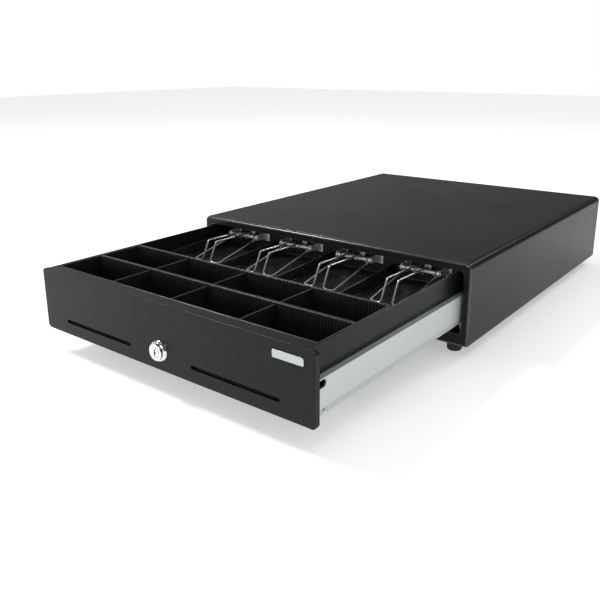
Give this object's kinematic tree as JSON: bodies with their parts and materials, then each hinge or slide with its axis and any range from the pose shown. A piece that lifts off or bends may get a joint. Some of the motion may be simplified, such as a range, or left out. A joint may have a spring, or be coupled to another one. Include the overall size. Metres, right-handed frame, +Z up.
{
  "type": "cash drawer",
  "caption": "Flat steel cash drawer with a sliding drawer, coin and note tray, sprung wire note clips, cam lock, media slots and an electric latch.",
  "frame": {"origin": "on the surface it stands on, under the middle of the box around the housing and the open drawer at rest", "axes": "+X across to the right seen from the front, +Y towards the back of the housing, +Z up; the drawer slides out along -Y"},
  "size_m": [0.35, 0.638, 0.0945],
  "materials": {
    "black_coat": "fine satin powder coat",
    "front_coat": "satin powder coat on the drawer front and frame",
    "galvanised": "galvanised sheet steel",
    "black_plastic": "moulded black plastic with a slight sheen",
    "chrome": "polished chrome",
    "wire": "nickel-plated spring wire",
    "steel": "zinc-plated steel",
    "rubber": "black rubber",
    "nylon": "white nylon",
    "badge": "satin aluminium, blank",
    "winding": "lacquered copper winding",
    "socket": "black moulded socket"
  },
  "bodies": {
    "housing": {"housing_cover": "black_coat", "front_frame": "front_coat", "base_pan": "black_coat", "rear_panel": "black_coat", "housing_screws": "steel", "cable_socket": "socket", "foot_front_left": "rubber", "foot_front_right": "rubber", "foot_rear_left": "rubber", "foot_rear_right": "rubber", "foot_screws": "steel", "rail_left": "galvanised", "rail_right": "galvanised", "drawer_stops": "rubber", "roller_bracket_left": "galvanised", "roller_bracket_right": "galvanised", "latch_bracket": "galvanised", "latch_pin": "steel", "latch_spring": "wire", "solenoid_frame": "galvanised", "solenoid_coil": "winding", "kick_spring": "wire", "microswitch": "socket"},
    "drawer": {"drawer_front": "front_coat", "front_screws": "steel", "badge_plate": "badge", "lock_barrel": "chrome", "lock_nut": "steel", "drawer_pan": "galvanised", "side_channel_left": "galvanised", "side_channel_right": "galvanised", "side_skin_left": "black_coat", "side_skin_right": "black_coat", "keeper": "steel", "tray_supports": "galvanised", "tray": "black_plastic", "coin_divider_1": "black_plastic", "coin_divider_2": "black_plastic", "coin_divider_3": "black_plastic", "coin_divider_4": "black_plastic", "coin_divider_5": "black_plastic", "coin_divider_6": "black_plastic", "clip_bracket_1": "galvanised", "clip_bracket_2": "galvanised", "clip_bracket_3": "galvanised", "clip_bracket_4": "galvanised"},
    "lock": {"lock_plug": "chrome", "lock_cam": "steel"},
    "hook": {"latch_hook": "steel"},
    "plunger": {"solenoid_plunger": "steel"},
    "switch_lever": {"switch_lever": "steel"},
    "clip_1": {"note_clip_1": "wire"},
    "clip_2": {"note_clip_2": "wire"},
    "clip_3": {"note_clip_3": "wire"},
    "clip_4": {"note_clip_4": "wire"},
    "front_roller_left": {"front_roller_left": "nylon"},
    "rear_roller_left": {"rear_roller_left": "nylon"},
    "front_roller_right": {"front_roller_right": "nylon"},
    "rear_roller_right": {"rear_roller_right": "nylon"}
  },
  "joints": [
    {"name": "drawer_slide", "type": "slide", "parent": "housing", "child": "drawer", "axis": [0, -1, 0], "range_m": [-0.228, 0.022], "deforming": ["kick_spring"]},
    {"name": "lock_turn", "type": "hinge", "parent": "drawer", "child": "lock", "pos_m": [0, -0.314, 0.0415], "axis": [0, -1, 0], "range_deg": [-90, 90]},
    {"name": "clip_1_lift", "type": "hinge", "parent": "drawer", "child": "clip_1", "pos_m": [-0.11745, -0.0785, 0.0765], "axis": [-1, 0, 0], "range_deg": [0, 30], "stiffness_Nm_per_rad": 0.05, "springref_deg": -17.19},
    {"name": "clip_2_lift", "type": "hinge", "parent": "drawer", "child": "clip_2", "pos_m": [-0.03915, -0.0785, 0.0765], "axis": [-1, 0, 0], "range_deg": [0, 30], "stiffness_Nm_per_rad": 0.05, "springref_deg": -17.19},
    {"name": "clip_3_lift", "type": "hinge", "parent": "drawer", "child": "clip_3", "pos_m": [0.03915, -0.0785, 0.0765], "axis": [-1, 0, 0], "range_deg": [0, 30], "stiffness_Nm_per_rad": 0.05, "springref_deg": -17.19},
    {"name": "clip_4_lift", "type": "hinge", "parent": "drawer", "child": "clip_4", "pos_m": [0.11745, -0.0785, 0.0765], "axis": [-1, 0, 0], "range_deg": [0, 30], "stiffness_Nm_per_rad": 0.05, "springref_deg": -17.19},
    {"name": "plunger_slide", "type": "slide", "parent": "housing", "child": "plunger", "axis": [0, 0, 1], "range_m": [-0.0035, 0], "stiffness_N_per_m": 120, "springref_m": -0.0035, "deforming": ["latch_spring"]},
    {"name": "hook_turn", "type": "hinge", "parent": "housing", "child": "hook", "pos_m": [0, 0.282, 0.028], "axis": [1, 0, 0], "range_deg": [-12.5, 0]},
    {"name": "switch_lever_turn", "type": "hinge", "parent": "housing", "child": "switch_lever", "pos_m": [-0.041, 0.266, 0.021], "axis": [-1, 0, 0], "range_deg": [0, 10], "stiffness_Nm_per_rad": 0.002, "springref_deg": -5.73},
    {"name": "front_roller_left_spin", "type": "hinge", "parent": "housing", "child": "front_roller_left", "pos_m": [-0.16095, -0.062, 0.025], "axis": [1, 0, 0], "range_deg": [-2000, 2000]},
    {"name": "rear_roller_left_spin", "type": "hinge", "parent": "drawer", "child": "rear_roller_left", "pos_m": [-0.1688, 0.023, 0.05], "axis": [1, 0, 0], "range_deg": [-2200, 2200]},
    {"name": "front_roller_right_spin", "type": "hinge", "parent": "housing", "child": "front_roller_right", "pos_m": [0.16095, -0.062, 0.025], "axis": [1, 0, 0], "range_deg": [-2000, 2000]},
    {"name": "rear_roller_right_spin", "type": "hinge", "parent": "drawer", "child": "rear_roller_right", "pos_m": [0.1688, 0.023, 0.05], "axis": [1, 0, 0], "range_deg": [-2200, 2200]}
  ],
  "couplings": [
    {"joint": "hook_turn", "follows": "plunger_slide", "rad_per_m": 59.8},
    {"joint": "front_roller_left_spin", "follows": "drawer_slide", "rad_per_m": 133.33},
    {"joint": "rear_roller_left_spin", "follows": "drawer_slide", "rad_per_m": 153.85},
    {"joint": "front_roller_right_spin", "follows": "drawer_slide", "rad_per_m": 133.33},
    {"joint": "rear_roller_right_spin", "follows": "drawer_slide", "rad_per_m": 153.85}
  ]
}
